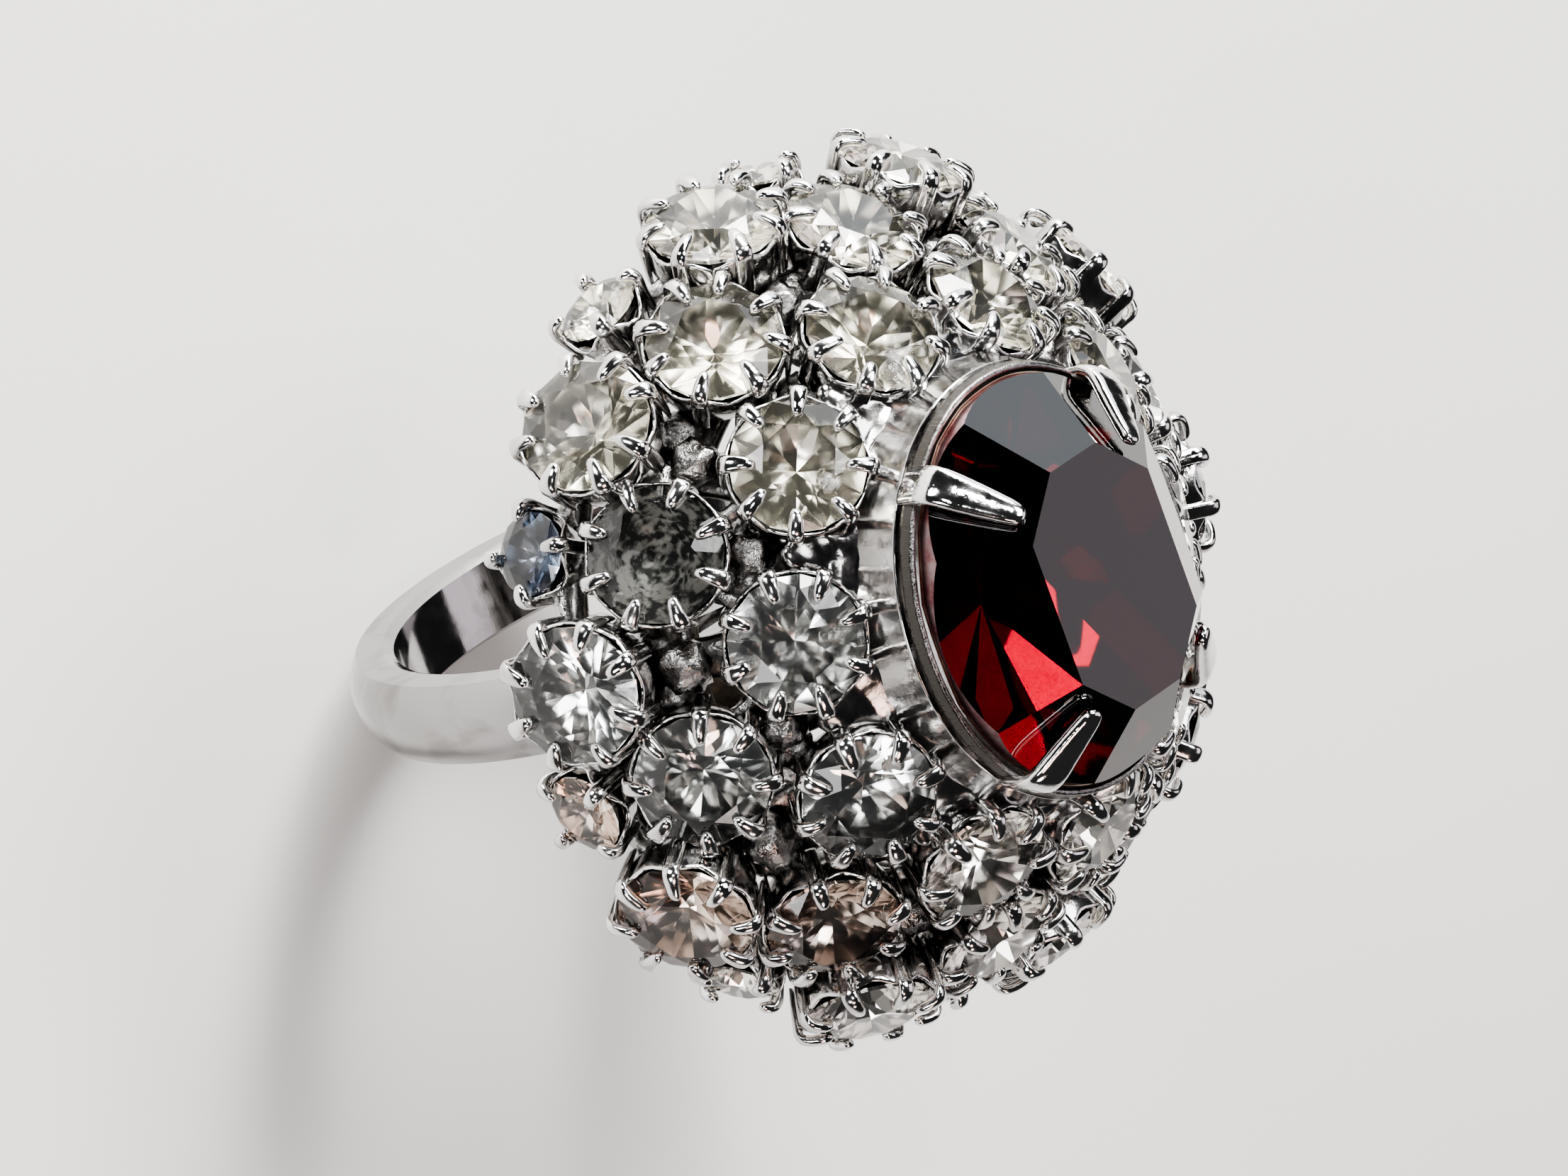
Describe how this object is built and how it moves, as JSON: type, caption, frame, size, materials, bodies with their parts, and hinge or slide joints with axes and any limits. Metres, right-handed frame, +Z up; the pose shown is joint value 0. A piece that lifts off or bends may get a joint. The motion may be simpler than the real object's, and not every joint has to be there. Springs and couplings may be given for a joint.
{
  "type": "cocktail ring",
  "caption": "Domed openwork cocktail ring: claw-set round clear stones around a large oval red stone, on a plain closed finger band.",
  "frame": {"origin": "centre of the finger bore, halfway along its width", "axes": "+Y along the finger, +Z up through the head and the centre stone, +X across the finger"},
  "size_m": [0.0314, 0.031, 0.0342],
  "materials": {
    "plated_band": "polished bright plating, lightly rubbed",
    "plated_frame": "bright plating with darkened recesses",
    "plated_pedestal": "polished plating with tool marks at the rim",
    "plated_cups": "bright plating, darkened between the claws",
    "solder": "lumpy bright solder beads",
    "ruby_glass": "deep red faceted glass with a dark foil back",
    "clear_glass": "clear faceted glass with a foil back, faintly warm"
  },
  "bodies": {
    "root": {"shank": "plated_band", "shank_solder": "solder", "bridge": "plated_frame", "base_hoop": "plated_frame", "mid_hoop": "plated_frame", "top_hoop": "plated_frame", "inner_outer_ribs": "plated_frame", "mid_rim_ribs": "plated_frame", "pedestal": "plated_pedestal", "pedestal_webs": "plated_pedestal", "pedestal_solder": "solder", "bezel": "plated_pedestal", "centre_claws": "plated_pedestal", "centre_stone": "ruby_glass", "inner_cups": "plated_cups", "mid_cups": "plated_cups", "outer_cups": "plated_cups", "rim_cups": "plated_cups", "cup_solder": "solder", "inner_stone_0": "clear_glass", "inner_stone_1": "clear_glass", "inner_stone_2": "clear_glass", "inner_stone_3": "clear_glass", "inner_stone_4": "clear_glass", "inner_stone_5": "clear_glass", "inner_stone_6": "clear_glass", "inner_stone_7": "clear_glass", "inner_stone_8": "clear_glass", "inner_stone_9": "clear_glass", "mid_stone_0": "clear_glass", "mid_stone_1": "clear_glass", "mid_stone_2": "clear_glass", "mid_stone_3": "clear_glass", "mid_stone_4": "clear_glass", "mid_stone_5": "clear_glass", "mid_stone_6": "clear_glass", "mid_stone_7": "clear_glass", "mid_stone_8": "clear_glass", "mid_stone_9": "clear_glass", "outer_stone_0": "clear_glass", "outer_stone_1": "clear_glass", "outer_stone_2": "clear_glass", "outer_stone_3": "clear_glass", "outer_stone_4": "clear_glass", "outer_stone_5": "clear_glass", "outer_stone_6": "clear_glass", "outer_stone_7": "clear_glass", "outer_stone_8": "clear_glass", "outer_stone_9": "clear_glass", "rim_stone_0": "clear_glass", "rim_stone_1": "clear_glass", "rim_stone_2": "clear_glass", "rim_stone_3": "clear_glass", "rim_stone_4": "clear_glass", "rim_stone_5": "clear_glass", "rim_stone_6": "clear_glass", "rim_stone_7": "clear_glass", "rim_stone_8": "clear_glass", "rim_stone_9": "clear_glass"}
  },
  "joints": []
}
